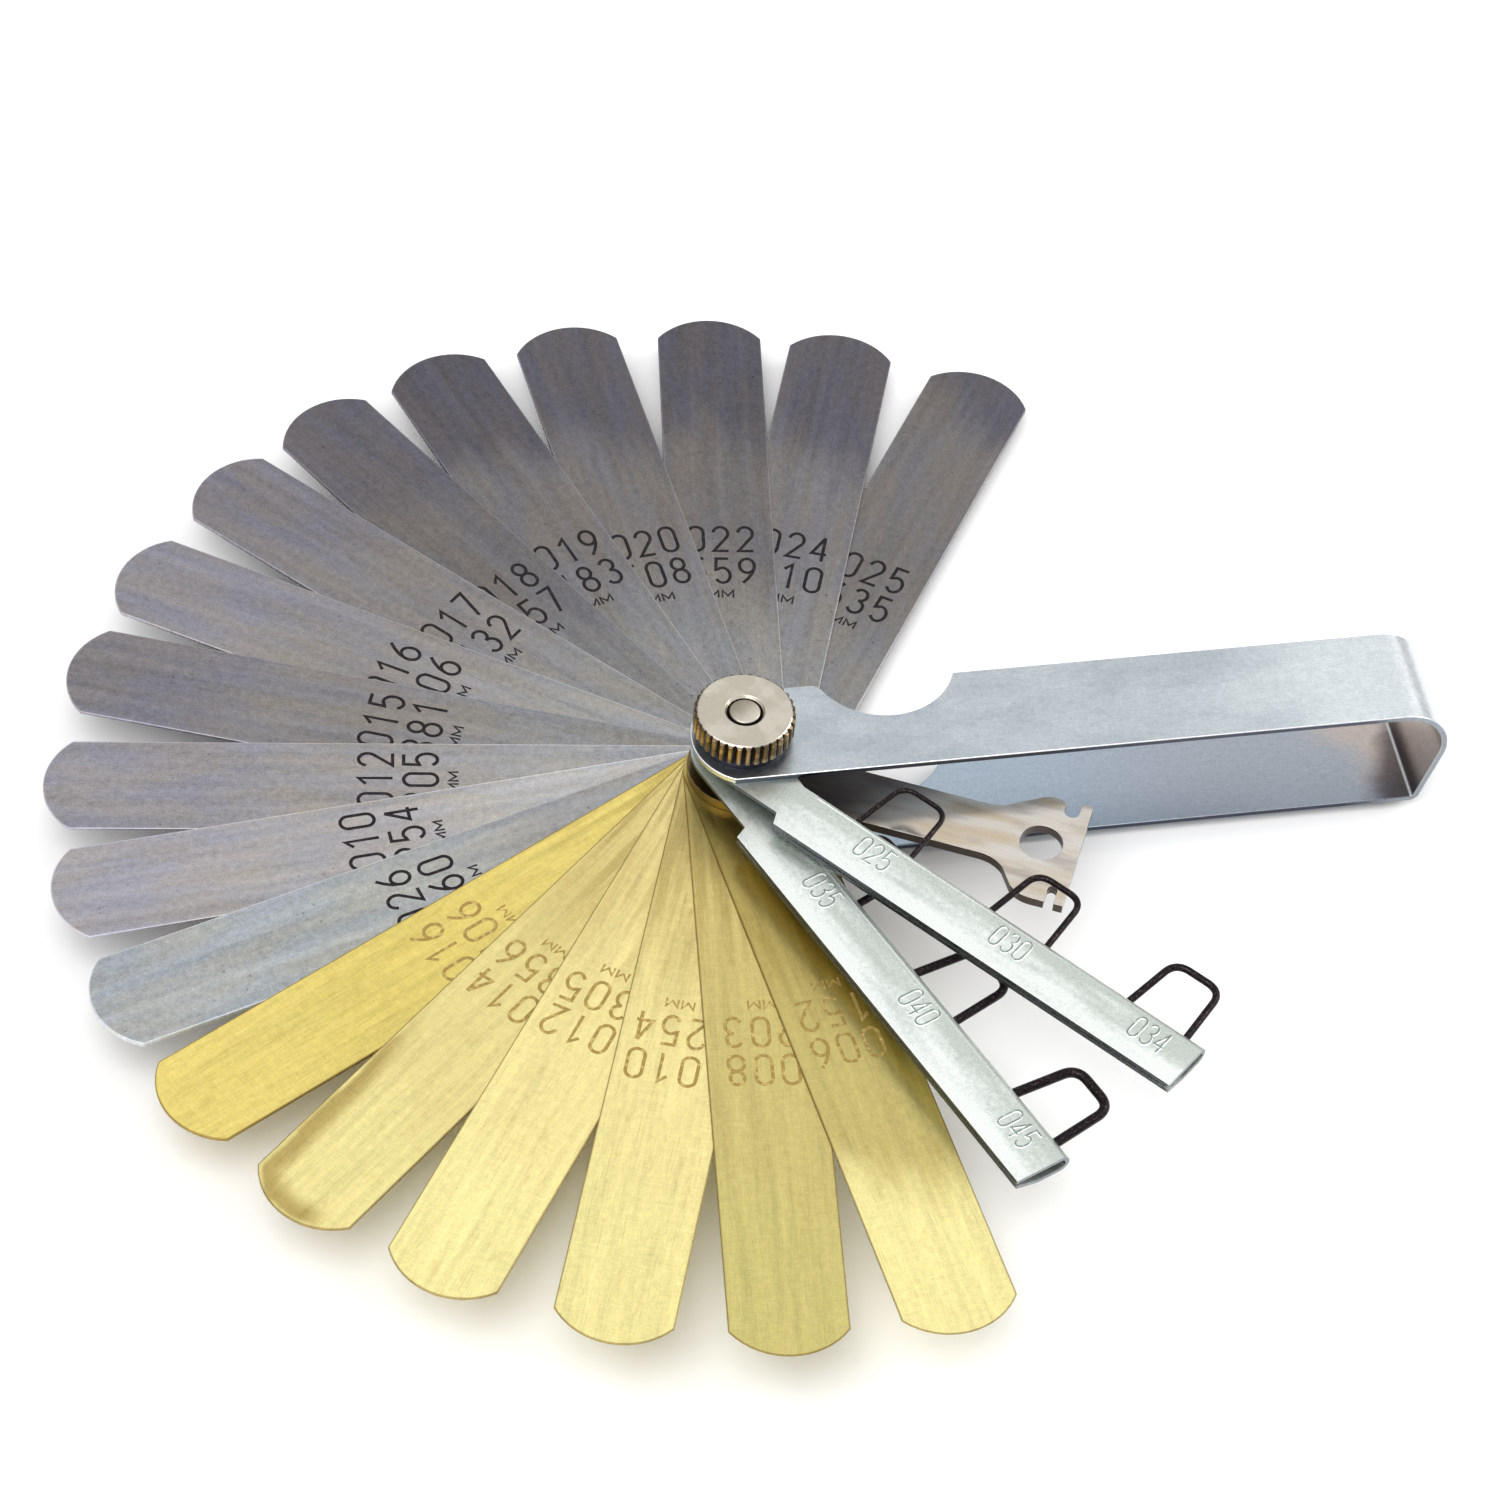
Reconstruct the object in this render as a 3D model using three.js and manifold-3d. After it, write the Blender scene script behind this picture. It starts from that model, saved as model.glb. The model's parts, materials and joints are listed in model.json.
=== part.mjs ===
// Feeler gauge: a fan of steel and brass thickness leaves, two folded holders of round wire
// gauges and a gap bending tool, all turning on one screw inside a case bent from one strip.
//
// Millimetres. The pivot axis is Z, with the origin in the middle of the underside of the screw
// head. The case lies along +X. Angles are in degrees, counted from the case towards +Y.

import * as THREE from 'three';
import { mergeVertices } from 'three/addons/utils/BufferGeometryUtils.js';
import Module from 'manifold-3d';

const wasm = await Module();
wasm.setup();

const INCH = 25.4;
const DEGREE = Math.PI / 180;

// Case: one strip bent into a U, open on both long sides.
const caseWidth = 12.75;
const caseSheet = 0.75;
const caseRootReach = 5.9;          // how far the plates run behind the pivot
const caseRootFlare = 0.625;        // the rounded root's radius, beyond half the width
const bottomBendRadius = 0.5;       // inside radius of the tight bend
const topBendRadius = 5.25;         // inside radius of the round bend
const endWallLean = 14;             // the end wall leans outwards towards the top
const notchRadius = 8.4;            // thumb notch in the far edge of both plates
const notchDepth = 5.4;
const notchDistance = 17.5;         // from the pivot to the middle of the notch
const notchShoulderRadius = 1.5;    // rounded shoulder on the pivot side of the notch

// Pivot screw and knurled nut.
const screwDiameter = 3.8;
const screwHeadDiameter = 8.0;
const screwHeadHeight = 1.2;
const screwHeadEdge = 0.3;          // bevel round the underside of the head
const screwTipChamfer = 0.25;
const screwDimpleDiameter = 2.6;
const screwDimpleDepth = 0.45;
const screwTipInset = 0.1;          // the screw ends this far below the nut's top face
const nutDiameter = 11.5;
const nutTopDiameter = 10.5;        // flat top face inside the chamfered knurl
const nutKnurlHeight = 3.1;
const nutCollarDiameter = 9.9;
const nutCollarHeight = 1.1;
const nutChamferHeight = 0.35;
const knurlTeeth = 34;
const knurlDepth = 0.42;
const knurlCrestShare = 0.3;        // share of each tooth that is a flat crest
const knurlGrooveShare = 0.16;      // share of each tooth that is the floor of the groove
const nutBoreChamfer = 0.3;

// Leaves: flat strips with a round root and a shallow arc for a tip.
const leafWidth = 12.7;
const leafReach = 78.2;             // from the pivot to the middle of the tip
const leafTipRadius = 8.0;

// Folded wire holders.
const holderSheet = 0.5;
const holderEndMargin = 2.6;        // from the last leg to the end of the holder
const holderRootRadius = 5.7;
const holderBodyStart = 10.2;       // the fold starts this far from the pivot
const holderStepLength = 0.7;
const holderNearEdge = 7.2;         // from the pivot line to the open edge
const holderFoldEdge = 0.3;         // from the pivot line to the outside of the fold
const holderPinchStart = 4.3;       // beyond this line the lower sheet is pressed up
const holderSlit = 0.35;            // gap left along the open edge

// Wire loops, three in each holder.
const loopPitch = 18.75;
const firstLoopDistance = 20.4;
const loopBaseWidth = 7.6;          // between the leg centres at the fold
const loopTopWidth = 6.1;           // between the leg centres where the top bend starts
const loopHeight = 7.5;             // from the pivot line to the centre of the top wire
const loopBendRadius = 1.9;
const legDepth = 3.4;               // from the pivot line to the hidden ends of the legs

// Gap bending tool.
const toolThickness = 1.25;
const toolRootRadius = 6.0;
const toolArmWidth = 7.2;
const toolReach = 39.5;
const toolUpperReach = 6.9;         // hooked lobe, from the arm's middle line
const toolUpperLobeRadius = 2.6;
const toolUpperLobeInset = 1.4;     // from the hook back to the middle of the lobe
const toolUpperNeckInset = 11.3;    // from the flat end back to the neck above the arm
const toolLowerReach = 8.1;         // slotted lobe, from the arm's middle line
const toolLowerLobeRadius = 3.6;
const toolLowerLobeInset = 1.6;     // from the slot back to the middle of the lobe
const toolLowerNeckInset = 10.7;    // from the flat end back to the neck below the arm
const toolNeckRadius = 4.2;
const toolNeckSlope = 46;           // slope of the straight between a neck and its lobe
const toolHoleDiameter = 4.9;
const toolHoleInset = 4.4;          // from the flat end back to the middle of the hole
const toolSlotWidth = 1.1;
const toolSlotDepth = 2.4;
const toolSlotInset = 1.6;          // from the flat end back to the middle of the slot
const toolHookWidth = 1.7;
const toolHookDepth = 2.3;
const toolProngWidth = 1.3;
const toolProngRounding = 0.4;

// Clearances.
const leafGap = 0.04;               // between neighbours in the stack
const pivotClearance = 0.09;        // all round the screw in every hole
const nutClearance = 0.09;          // all round the screw end inside the nut
const seatGap = 0.02;               // between the screw head, the case and the nut
const tipClearance = 0.25;          // between the leaf tips and the end wall
const wireClearance = 0.06;         // all round the thickest wire inside its holder
const legHoleClearance = 0.05;      // all round each wire where it leaves the fold

// The stack from the bottom plate up. Each gauge is marked in thousandths of an inch.
const leaves = [
  { metal: 'steel', mark: 25, angle: 56.7 },
  { metal: 'steel', mark: 24, angle: 70.3 },
  { metal: 'steel', mark: 22, angle: 82.8 },
  { metal: 'steel', mark: 20, angle: 96.4 },
  { metal: 'steel', mark: 19, angle: 109.3 },
  { metal: 'steel', mark: 18, angle: 121.8 },
  { metal: 'steel', mark: 17, angle: 134.0 },
  { metal: 'steel', mark: 16, angle: 147.2 },
  { metal: 'steel', mark: 15, angle: 159.4 },
  { metal: 'steel', mark: 12, angle: 172.7 },
  { metal: 'steel', mark: 10, angle: 184.8 },
  { metal: 'steel', mark: 26, angle: 197.3 },
  { metal: 'brass', mark: 16, angle: 209.4 },
  { metal: 'brass', mark: 14, angle: 222.7 },
  { metal: 'brass', mark: 12, angle: 236.0 },
  { metal: 'brass', mark: 10, angle: 250.3 },
  { metal: 'brass', mark: 8, angle: 264.2 },
  { metal: 'brass', mark: 6, angle: 278.0 },
];
const toolAngle = -25.8;
const holders = [
  { name: 'heavy_wire_holder', marks: [35, 40, 45], angle: -66.7 },
  { name: 'light_wire_holder', marks: [25, 30, 34], angle: -48.7 },
];

// Facets.
const circleSides = 40;
const holeSides = 20;
const wireSides = 8;
const wireSteps = 28;
const cornerSegments = 8;
const tipSegments = 16;
const rootSegments = 24;
const cutMargin = 1;                // cutters run this far past the material

// Sizes that follow from the ones above.
const pivotHoleRadius = screwDiameter / 2 + pivotClearance;
const caseRootRadius = caseWidth / 2 + caseRootFlare;
const loopsPerHolder = Math.max(...holders.map((holder) => holder.marks.length));
const lastLegDistance = firstLoopDistance + (loopsPerHolder - 1) * loopPitch + loopBaseWidth / 2;
const holderReach = lastLegDistance + holderEndMargin;
const markSize = (mark) => (mark / 1000) * INCH;
const markText = (mark) => String(mark).padStart(3, '0');
const cavityHeight = (holder) => markSize(Math.max(...holder.marks)) + 2 * wireClearance;
const holderThickness = (holder) => cavityHeight(holder) + 2 * holderSheet;

const steelFinish = { color: 0x8b8a90, roughness: 0.38, metalness: 1.0 };
const brassFinish = { color: 0xc9a94e, roughness: 0.35, metalness: 1.0 };
const zincFinish = { color: 0xc3ccd0, roughness: 0.42, metalness: 0.9 };
const nickelFinish = { color: 0xb7ad9f, roughness: 0.25, metalness: 1.0 };
const wireFinish = { color: 0x2b2628, roughness: 0.35, metalness: 0.8 };
const caseFinish = { color: 0xaab2bd, roughness: 0.33, metalness: 1.0 };

// ---- geometry helpers ------------------------------------------------------------------

const point = (x, y) => new THREE.Vector2(x, y);

// Points on an arc; start and end are in degrees and the arc runs straight from one to the other.
function arc(x, y, radius, start, end, segments = cornerSegments) {
  const points = [];
  for (let i = 0; i <= segments; i += 1) {
    const angle = (start + ((end - start) * i) / segments) * DEGREE;
    points.push(point(x + radius * Math.cos(angle), y + radius * Math.sin(angle)));
  }
  return points;
}

const circle = (x, y, radius, sides = circleSides) => arc(x, y, radius, 0, 360, sides).slice(0, -1);

// A flat plate with its underside at z = 0.
function plate(outline, thickness, holes = []) {
  const shape = new THREE.Shape(outline);
  holes.forEach((hole) => shape.holes.push(new THREE.Path(hole)));
  return new THREE.ExtrudeGeometry(shape, { depth: thickness, bevelEnabled: false });
}

// A section drawn in (across, up) and pushed along X from start to end.
function bar(section, start, end) {
  const geometry = plate(section, end - start);
  geometry.rotateX(Math.PI / 2);
  geometry.rotateZ(Math.PI / 2);
  geometry.translate(start, 0, 0);
  return geometry;
}

const turned = (profile, sides = circleSides) => {
  const geometry = new THREE.LatheGeometry(profile, sides);
  geometry.rotateX(Math.PI / 2);
  return geometry;
};

function toSolid(geometry) {
  const bare = geometry.clone();
  bare.deleteAttribute('normal');
  bare.deleteAttribute('uv');
  const merged = mergeVertices(bare, 1e-4);
  const vertProperties = new Float32Array(merged.attributes.position.array);
  const triVerts = new Uint32Array(merged.index.array);
  return new wasm.Manifold(new wasm.Mesh({ numProp: 3, vertProperties, triVerts }));
}

function toGeometry(solid) {
  const mesh = solid.getMesh();
  const geometry = new THREE.BufferGeometry();
  geometry.setAttribute('position', new THREE.BufferAttribute(mesh.vertProperties, 3));
  geometry.setIndex(new THREE.BufferAttribute(mesh.triVerts, 1));
  geometry.computeVertexNormals();
  return geometry;
}

function part(name, geometry, finish) {
  const mesh = new THREE.Mesh(geometry, new THREE.MeshStandardMaterial(finish));
  mesh.name = name;
  return mesh;
}

// A post along Z for cutting round holes.
function post(radius, bottom, top, sides = circleSides) {
  const geometry = new THREE.CylinderGeometry(radius, radius, top - bottom, sides);
  geometry.rotateX(Math.PI / 2);
  geometry.translate(0, 0, (top + bottom) / 2);
  return toSolid(geometry);
}

// ---- case -------------------------------------------------------------------------------

// Outline of the U in (x, z), at a depth below the outside face. The leaves end just short of
// the end wall, and the thick arms end before the round bend starts.
function caseLine(depth, underside, topside) {
  const bottomRadius = bottomBendRadius + caseSheet;
  const topRadius = topBendRadius + caseSheet;
  const lean = endWallLean * DEGREE;
  const rise = topside - topRadius - (underside + bottomRadius);
  const setback = (topRadius - bottomRadius - rise * Math.sin(lean)) / Math.cos(lean);
  const cornerRun = Math.sqrt(bottomBendRadius ** 2 - (bottomBendRadius - leafGap) ** 2);
  const leafEnd = leafReach + tipClearance - cornerRun;
  const armEnd = Math.max(holderReach, toolReach) + tipClearance;
  const lowBend = Math.max(leafEnd, armEnd + setback);
  const highBend = lowBend - setback;
  const start = -caseWidth;
  return [
    point(start, underside + depth),
    ...arc(lowBend, underside + bottomRadius, bottomRadius - depth, -90, -endWallLean),
    ...arc(highBend, topside - topRadius, topRadius - depth, -endWallLean, 90, 2 * cornerSegments),
    point(start, topside - depth),
  ];
}

// Both plates share one outline: rounded root, straight edges and the thumb notch.
function casePlan() {
  const half = caseWidth / 2;
  const rootCentre = caseRootRadius - caseRootReach;
  const rootAngle = Math.asin(half / caseRootRadius) / DEGREE;
  const notchCentre = half + notchRadius - notchDepth;
  const shoulderY = half - notchShoulderRadius;
  const drop = notchCentre - shoulderY;
  const spread = Math.sqrt((notchRadius + notchShoulderRadius) ** 2 - drop ** 2);
  const shoulderAngle = Math.atan2(drop, spread) / DEGREE;
  const cornerAngle = Math.asin((notchCentre - half) / notchRadius) / DEGREE;
  const farEnd = Math.max(leafReach, holderReach, toolReach) + caseWidth;
  return [
    ...arc(rootCentre, 0, caseRootRadius, 180 - rootAngle, 180 + rootAngle, rootSegments),
    point(farEnd, -half),
    point(farEnd, half),
    ...arc(notchDistance, notchCentre, notchRadius, -cornerAngle, shoulderAngle - 180, 20),
    ...arc(notchDistance - spread, shoulderY, notchShoulderRadius, shoulderAngle, 90, 6),
  ];
}

function makeCase(underside, topside) {
  const outside = caseLine(0, underside, topside);
  const inside = caseLine(caseSheet, underside, topside);
  const strip = plate([...outside, ...inside.reverse()], 2 * caseWidth);
  strip.rotateX(Math.PI / 2);
  strip.translate(0, caseWidth, 0);
  const plan = plate(casePlan(), topside + cutMargin, [circle(0, 0, pivotHoleRadius)]);
  return toGeometry(toSolid(strip).intersect(toSolid(plan)));
}

// ---- pivot screw and nut ----------------------------------------------------------------

function makeScrew(tip) {
  const shank = screwDiameter / 2;
  const head = screwHeadDiameter / 2;
  return turned([
    point(0, 0),
    point(head - screwHeadEdge, 0),
    point(head, screwHeadEdge),
    point(head, screwHeadHeight),
    point(shank, screwHeadHeight),
    point(shank, tip - screwTipChamfer),
    point(shank - screwTipChamfer, tip),
    point(screwDimpleDiameter / 2, tip),
    point(0, tip - screwDimpleDepth),
  ]);
}

function knurlOutline() {
  const outer = nutDiameter / 2;
  const pitch = 360 / knurlTeeth;
  const crestHalf = (knurlCrestShare * pitch) / 2;
  const grooveHalf = (knurlGrooveShare * pitch) / 2;
  const points = [];
  for (let tooth = 0; tooth < knurlTeeth; tooth += 1) {
    const middle = tooth * pitch;
    const groove = middle + pitch / 2;
    points.push(...arc(0, 0, outer, middle - crestHalf, middle + crestHalf, 1));
    points.push(...arc(0, 0, outer - knurlDepth, groove - grooveHalf, groove + grooveHalf, 1));
  }
  return points;
}

function makeNut() {
  const height = nutCollarHeight + nutKnurlHeight;
  const bore = screwDiameter / 2 + nutClearance;
  const knurl = plate(knurlOutline(), nutKnurlHeight);
  knurl.translate(0, 0, nutCollarHeight);
  const envelope = turned([
    point(0, 0),
    point(nutCollarDiameter / 2, 0),
    point(nutCollarDiameter / 2, nutCollarHeight),
    point(nutTopDiameter / 2, nutCollarHeight),
    point(nutDiameter / 2, nutCollarHeight + nutChamferHeight),
    point(nutDiameter / 2, height - nutChamferHeight),
    point(nutTopDiameter / 2, height),
    point(0, height),
  ], knurlTeeth);
  const boreCut = turned([
    point(0, -cutMargin),
    point(bore, -cutMargin),
    point(bore, height - nutBoreChamfer),
    point(bore + 2 * nutBoreChamfer, height + nutBoreChamfer),
    point(0, height + nutBoreChamfer),
  ]);
  const collar = post(nutCollarDiameter / 2, 0, nutCollarHeight + nutChamferHeight);
  const head = toSolid(knurl).intersect(toSolid(envelope));
  return toGeometry(head.add(collar).subtract(toSolid(boreCut)));
}

// ---- leaves -----------------------------------------------------------------------------

function makeLeaf(thickness) {
  const half = leafWidth / 2;
  const tipAngle = Math.asin(half / leafTipRadius) / DEGREE;
  const outline = [
    ...arc(0, 0, half, 90, 270, tipSegments),
    ...arc(leafReach - leafTipRadius, 0, leafTipRadius, -tipAngle, tipAngle, tipSegments),
  ];
  return plate(outline, thickness, [circle(0, 0, pivotHoleRadius, holeSides)]);
}

// ---- gap bending tool -------------------------------------------------------------------

// Flat tool: a round eye, a straight arm and a head with a hook above and a slot below.
// Every feature of the head is placed from its flat end.
function makeTool() {
  const arm = toolArmWidth / 2;
  const eyeAngle = Math.asin(arm / toolRootRadius) / DEGREE;
  const hookEnd = toolReach - toolProngWidth;
  const hookStart = hookEnd - toolHookWidth;
  const hookRound = toolHookWidth / 2;
  const hookFloor = toolUpperReach - toolHookDepth;
  const lipAngle = Math.acos(toolUpperLobeInset / toolUpperLobeRadius) / DEGREE;
  const slotMiddle = toolReach - toolSlotInset;
  const slotHalf = toolSlotWidth / 2;
  const slotFloor = toolSlotDepth - toolLowerReach;
  const lowerLobe = slotMiddle - slotHalf - toolLowerLobeInset;
  const upperLobe = hookStart - toolUpperLobeInset;
  const upperNeck = toolReach - toolUpperNeckInset;
  const lowerNeck = toolReach - toolLowerNeckInset;
  const round = toolProngRounding;
  const slope = toolNeckSlope;
  const outline = [
    ...arc(0, 0, toolRootRadius, eyeAngle, 360 - eyeAngle, rootSegments),
    ...arc(lowerNeck, -arm - toolNeckRadius, toolNeckRadius, 90, 90 - slope),
    ...arc(lowerLobe, toolLowerLobeRadius - toolLowerReach, toolLowerLobeRadius, 270 - slope, 270),
    point(slotMiddle - slotHalf, -toolLowerReach),
    ...arc(slotMiddle, slotFloor - slotHalf, slotHalf, 180, 0),
    point(slotMiddle + slotHalf, -toolLowerReach),
    point(toolReach, -toolLowerReach),
    ...arc(toolReach - round, toolUpperReach - round, round, 0, 90),
    ...arc(hookEnd + round, toolUpperReach - round, round, 90, 180),
    ...arc(hookStart + hookRound, hookFloor + hookRound, hookRound, 0, -180),
    ...arc(upperLobe, toolUpperReach - toolUpperLobeRadius, toolUpperLobeRadius,
      lipAngle, 90 + slope),
    ...arc(upperNeck, arm + toolNeckRadius, toolNeckRadius, slope - 90, -90),
  ];
  const holes = [
    circle(0, 0, pivotHoleRadius, holeSides),
    circle(toolReach - toolHoleInset, 0, toolHoleDiameter / 2),
  ];
  return plate(outline, toolThickness, holes);
}

// ---- wire holders and their loops -------------------------------------------------------

// The legs lean together from the fold to the top bend.
const legLean = (loopBaseWidth - loopTopWidth) / 2 / (loopHeight + holderFoldEdge);

// The middle line of a loop, in the holder's own (along, across) plane.
function loopPath(distance) {
  const spread = (across) => loopBaseWidth / 2 - legLean * (across + holderFoldEdge);
  const place = (side, across) => new THREE.Vector3(distance + side * spread(across), across, 0);
  const corner = (side) => new THREE.Vector3(distance + side * spread(loopHeight), loopHeight, 0);
  const inward = (side) => new THREE.Vector3(
    distance + side * (spread(loopHeight) - loopBendRadius), loopHeight, 0);
  const path = new THREE.CurvePath();
  const shoulder = loopHeight - loopBendRadius;
  path.add(new THREE.LineCurve3(place(-1, -legDepth), place(-1, shoulder)));
  path.add(new THREE.QuadraticBezierCurve3(place(-1, shoulder), corner(-1), inward(-1)));
  path.add(new THREE.LineCurve3(inward(-1), inward(1)));
  path.add(new THREE.QuadraticBezierCurve3(inward(1), corner(1), place(1, shoulder)));
  path.add(new THREE.LineCurve3(place(1, shoulder), place(1, -legDepth)));
  return path;
}

function makeLoop(distance, radius) {
  const section = new THREE.Shape(circle(0, 0, radius, wireSides));
  const options = { steps: wireSteps, bevelEnabled: false, extrudePath: loopPath(distance) };
  return new THREE.ExtrudeGeometry(section, options);
}

// A rod along one leg, for cutting the hole where the wire leaves the fold.
function legRod(distance, side, radius) {
  const length = 8 * holderSheet;
  const rod = new THREE.CylinderGeometry(radius, radius, length, holeSides);
  rod.rotateZ(Math.atan(legLean) * side);
  rod.translate(distance + side * (loopBaseWidth / 2), -holderFoldEdge, 0);
  return toSolid(rod);
}

// Section of the folded strip in (across, up), with the wires' middle line at height 0.
function foldSection(cavity) {
  const inner = cavity / 2;
  const outer = inner + holderSheet;
  const foldCentre = -holderFoldEdge - outer;
  const lipTop = inner - holderSlit;
  return [
    point(-holderNearEdge, outer),
    point(-holderNearEdge, inner),
    ...arc(foldCentre, 0, inner, 90, -90, tipSegments),
    point(-holderPinchStart, -inner),
    point(-holderNearEdge, lipTop),
    point(-holderNearEdge, lipTop - holderSheet),
    point(-holderPinchStart, -outer),
    ...arc(foldCentre, 0, outer, -90, 90, tipSegments),
  ];
}

// The single sheet that carries the folded body to the pivot.
function tangOutline() {
  const overlap = holderBodyStart + 2 * holderStepLength;
  const foldSide = -holderFoldEdge - holderSheet;
  return [
    ...arc(0, 0, holderRootRadius, 60, 270, rootSegments),
    point(holderBodyStart - holderStepLength, -holderRootRadius),
    point(holderBodyStart, -holderNearEdge),
    point(overlap, -holderNearEdge),
    point(overlap, foldSide),
    point(holderBodyStart - holderStepLength, foldSide),
    point(holderRootRadius, foldSide + 2 * holderStepLength),
  ];
}

function makeHolder(holder) {
  const cavity = cavityHeight(holder);
  const tang = plate(tangOutline(), holderSheet, [circle(0, 0, pivotHoleRadius, holeSides)]);
  tang.translate(0, 0, cavity / 2);
  let solid = toSolid(bar(foldSection(cavity), holderBodyStart, holderReach)).add(toSolid(tang));
  holder.marks.forEach((mark, index) => {
    const radius = markSize(mark) / 2 + legHoleClearance;
    const distance = firstLoopDistance + index * loopPitch;
    solid = solid.subtract(legRod(distance, -1, radius)).subtract(legRod(distance, 1, radius));
  });
  return toGeometry(solid);
}

// ---- assembly ---------------------------------------------------------------------------

const gauge = new THREE.Group();

// Puts a turned group in the stack, with the given height for its local z = 0.
function addArm(angle, height, meshes) {
  const arm = new THREE.Group();
  arm.position.z = height;
  arm.rotation.z = angle * DEGREE;
  arm.add(...meshes);
  gauge.add(arm);
}

const caseUnderside = screwHeadHeight + seatGap;
let stackHeight = caseUnderside + caseSheet;

leaves.forEach(({ metal, mark, angle }) => {
  const thickness = markSize(mark);
  const finish = metal === 'steel' ? steelFinish : brassFinish;
  const leaf = part(`${metal}_leaf_${markText(mark)}`, makeLeaf(thickness), finish);
  addArm(angle, stackHeight + leafGap, [leaf]);
  stackHeight += leafGap + thickness;
});

addArm(toolAngle, stackHeight + leafGap, [part('gap_bending_tool', makeTool(), nickelFinish)]);
stackHeight += leafGap + toolThickness;

holders.forEach((holder) => {
  const thickness = holderThickness(holder);
  const loops = holder.marks.map((mark, index) => {
    const loop = makeLoop(firstLoopDistance + index * loopPitch, markSize(mark) / 2);
    return part(`wire_loop_${markText(mark)}`, loop, wireFinish);
  });
  const body = part(holder.name, makeHolder(holder), zincFinish);
  addArm(holder.angle, stackHeight + leafGap + thickness / 2, [body, ...loops]);
  stackHeight += leafGap + thickness;
});

const caseTopside = stackHeight + leafGap + caseSheet;
gauge.add(part('case', makeCase(caseUnderside, caseTopside), caseFinish));

const nutUnderside = caseTopside + seatGap;
const nut = part('knurled_nut', makeNut(), nickelFinish);
nut.position.z = nutUnderside;
gauge.add(nut);

const screwTip = nutUnderside + nutCollarHeight + nutKnurlHeight - screwTipInset;
gauge.add(part('pivot_screw', makeScrew(screwTip), nickelFinish));

export default gauge;
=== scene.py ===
import json
import math

import bmesh
import bpy
from mathutils import Matrix, Vector

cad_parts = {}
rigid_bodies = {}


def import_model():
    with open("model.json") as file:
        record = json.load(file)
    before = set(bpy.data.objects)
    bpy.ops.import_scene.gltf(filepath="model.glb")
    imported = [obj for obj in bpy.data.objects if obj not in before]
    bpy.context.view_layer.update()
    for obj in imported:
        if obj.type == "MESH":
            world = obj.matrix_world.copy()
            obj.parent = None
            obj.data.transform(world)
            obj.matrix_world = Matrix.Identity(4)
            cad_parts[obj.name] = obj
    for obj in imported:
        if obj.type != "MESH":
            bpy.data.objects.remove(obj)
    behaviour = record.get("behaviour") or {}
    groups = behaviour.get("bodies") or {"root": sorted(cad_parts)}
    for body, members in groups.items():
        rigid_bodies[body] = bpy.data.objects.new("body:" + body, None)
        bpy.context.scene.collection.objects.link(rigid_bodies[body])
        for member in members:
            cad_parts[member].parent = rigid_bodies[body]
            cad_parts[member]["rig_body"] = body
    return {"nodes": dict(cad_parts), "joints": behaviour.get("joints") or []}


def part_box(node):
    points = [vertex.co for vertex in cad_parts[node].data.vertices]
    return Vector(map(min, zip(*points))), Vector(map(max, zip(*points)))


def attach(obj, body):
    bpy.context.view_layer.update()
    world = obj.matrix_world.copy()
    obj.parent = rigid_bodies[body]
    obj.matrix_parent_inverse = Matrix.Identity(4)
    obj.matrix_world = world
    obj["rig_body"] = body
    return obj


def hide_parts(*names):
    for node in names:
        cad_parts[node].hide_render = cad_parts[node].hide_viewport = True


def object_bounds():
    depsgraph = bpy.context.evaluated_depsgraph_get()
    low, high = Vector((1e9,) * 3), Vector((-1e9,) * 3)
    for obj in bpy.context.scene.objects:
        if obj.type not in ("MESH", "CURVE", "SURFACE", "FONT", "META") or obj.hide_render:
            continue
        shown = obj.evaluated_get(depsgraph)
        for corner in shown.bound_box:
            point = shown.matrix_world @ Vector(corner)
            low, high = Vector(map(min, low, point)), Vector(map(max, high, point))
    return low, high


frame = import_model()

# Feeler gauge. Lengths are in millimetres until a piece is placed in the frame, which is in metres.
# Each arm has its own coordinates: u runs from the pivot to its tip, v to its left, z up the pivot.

MM = 0.001
INCH = 25.4
solid_low, solid_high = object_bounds()

# Every arm's angle at rest, counted from the case. Its joint folds it back by that angle.
rest_angle = {j["child"]: -math.radians(j["range_deg"][0]) for j in frame["joints"]}

# Leaves and their marks.
LEAF_WIDTH = 12.7
LEAF_REACH = 78.2
TIP_RADIUS = 8.0
DIGIT_HEIGHT = 3.85
DIGIT_PITCH = 2.95
ROW_PITCH = 5.1
UNIT_DROP = 10.2           # from the outer edge of the first row to that of the unit mark
UNIT_HEIGHT = 1.1
UNIT_PITCH = 1.75
UNIT_START = 1.9           # how far left of the marks' middle the unit mark starts
POINT_START = 0.95         # how far before the first digit its point stands
ETCH_STROKE = 0.40
UNIT_STROKE = 0.24
MARK_LIFT = 0.004          # the marks float this far above the sheet
MARK_THICKNESS = 0.006
STROKE_STEP = 0.0015       # each stroke of a glyph stands a little higher than the last

# Wire loops and holders.
LOOP_PITCH = 18.75
FIRST_LOOP = 20.4
LOOP_BASE = 7.6
LOOP_TOP = 6.1
LOOP_HEIGHT = 7.5
LOOP_BEND = 1.9
LEG_DEPTH = 3.4
FOLD_EDGE = 0.3
HOLDER_REACH = 64.3
STAMP_HEIGHT = 3.0
STAMP_PITCH = 1.6
STAMP_SQUEEZE = 0.8        # the stamped numbers are narrower than the etched ones
STAMP_FOOT = -4.6          # the foot of the stamped numbers, across the holder
STAMP_START = 2.9          # how far before its loop's middle a stamped number starts
STAMP_STROKE = 0.20
RIDGE_HIGHLIGHT_SHIFT = 0.13         # a stroke of painted highlight lies beside each stroke of painted shade, and the shade lies just above it
GROOVE_SHADE_LIFT = 0.006

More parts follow.
